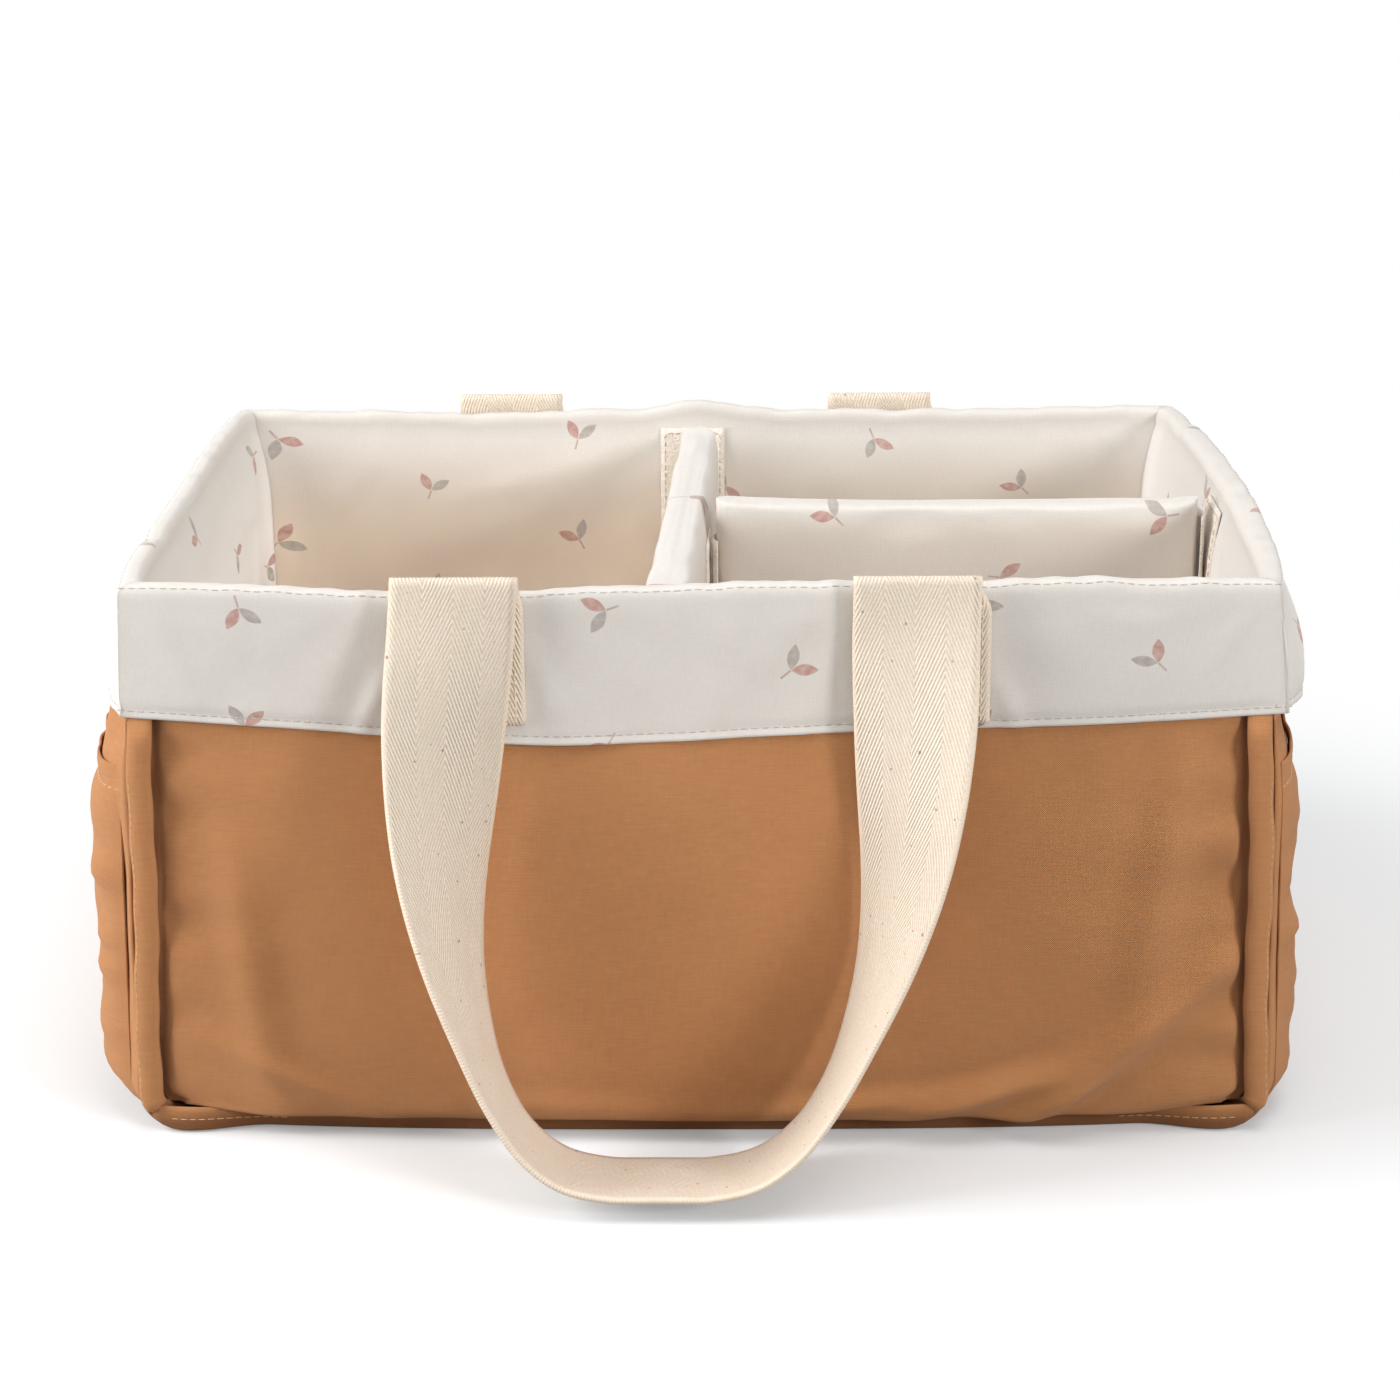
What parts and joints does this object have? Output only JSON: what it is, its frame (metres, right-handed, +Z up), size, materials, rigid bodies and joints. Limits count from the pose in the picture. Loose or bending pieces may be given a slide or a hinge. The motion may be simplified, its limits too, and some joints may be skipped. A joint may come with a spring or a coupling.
{
  "type": "diaper caddy",
  "caption": "Open padded fabric caddy with a turned-down printed cuff, webbing carry handles, elastic end pockets and lift-out padded dividers.",
  "frame": {"origin": "on the ground under the middle of the caddy, with the handles hanging", "axes": "+X along the length to the right, +Y from the front to the back, +Z up"},
  "size_m": [0.4112, 0.3814, 0.191],
  "materials": {
    "canvas": "plain woven cotton canvas, matt camel",
    "printed_cotton": "off-white cotton with a small scattered print",
    "webbing": "natural cotton herringbone webbing",
    "foam": "soft foam sheet",
    "elastic": "woven elastic tape",
    "hook_and_loop": "brushed hook-and-loop tape",
    "board": "stiff board"
  },
  "bodies": {
    "caddy": {"front_panel": "canvas", "back_panel": "canvas", "left_end_panel": "canvas", "right_end_panel": "canvas", "bottom_panel": "canvas", "front_left_piping": "canvas", "front_right_piping": "canvas", "back_left_piping": "canvas", "back_right_piping": "canvas", "left_pocket": "canvas", "right_pocket": "canvas", "front_foam": "foam", "back_foam": "foam", "left_foam": "foam", "right_foam": "foam", "floor_foam": "foam", "front_lining": "printed_cotton", "back_lining": "printed_cotton", "left_lining": "printed_cotton", "right_lining": "printed_cotton", "floor_lining": "printed_cotton", "front_cuff": "printed_cotton", "back_cuff": "printed_cotton", "left_cuff": "printed_cotton", "right_cuff": "printed_cotton", "front_handle_left_tab": "webbing", "front_handle_right_tab": "webbing", "back_handle_left_tab": "webbing", "back_handle_right_tab": "webbing", "left_pocket_elastic": "elastic", "right_pocket_elastic": "elastic", "front_wall_strip": "hook_and_loop", "back_wall_strip": "hook_and_loop", "right_wall_strip": "hook_and_loop", "bottom_board": "board"},
    "front_handle": {"front_handle_loop": "webbing"},
    "back_handle": {"back_handle_loop": "webbing"},
    "cross_divider": {"cross_divider_foam": "foam", "cross_divider_cover": "printed_cotton", "cross_divider_front_hook_strip": "hook_and_loop", "cross_divider_back_hook_strip": "hook_and_loop", "cross_divider_loop_strip": "hook_and_loop"},
    "side_divider": {"side_divider_foam": "foam", "side_divider_cover": "printed_cotton", "side_divider_left_hook_strip": "hook_and_loop", "side_divider_right_hook_strip": "hook_and_loop"}
  },
  "joints": [
    {"name": "front_handle_swing", "type": "hinge", "parent": "caddy", "child": "front_handle", "pos_m": [-0.004, -0.12755, 0.191], "axis": [-1, 0, 0], "range_deg": [0, 190]},
    {"name": "back_handle_swing", "type": "hinge", "parent": "caddy", "child": "back_handle", "pos_m": [-0.004, 0.12755, 0.191], "axis": [1, 0, 0], "range_deg": [0, 190]},
    {"name": "cross_divider_lift", "type": "slide", "parent": "caddy", "child": "cross_divider", "axis": [0, 0, 1], "range_m": [0, 0.175]},
    {"name": "side_divider_lift", "type": "slide", "parent": "caddy", "child": "side_divider", "axis": [0, 0, 1], "range_m": [0, 0.175]}
  ]
}
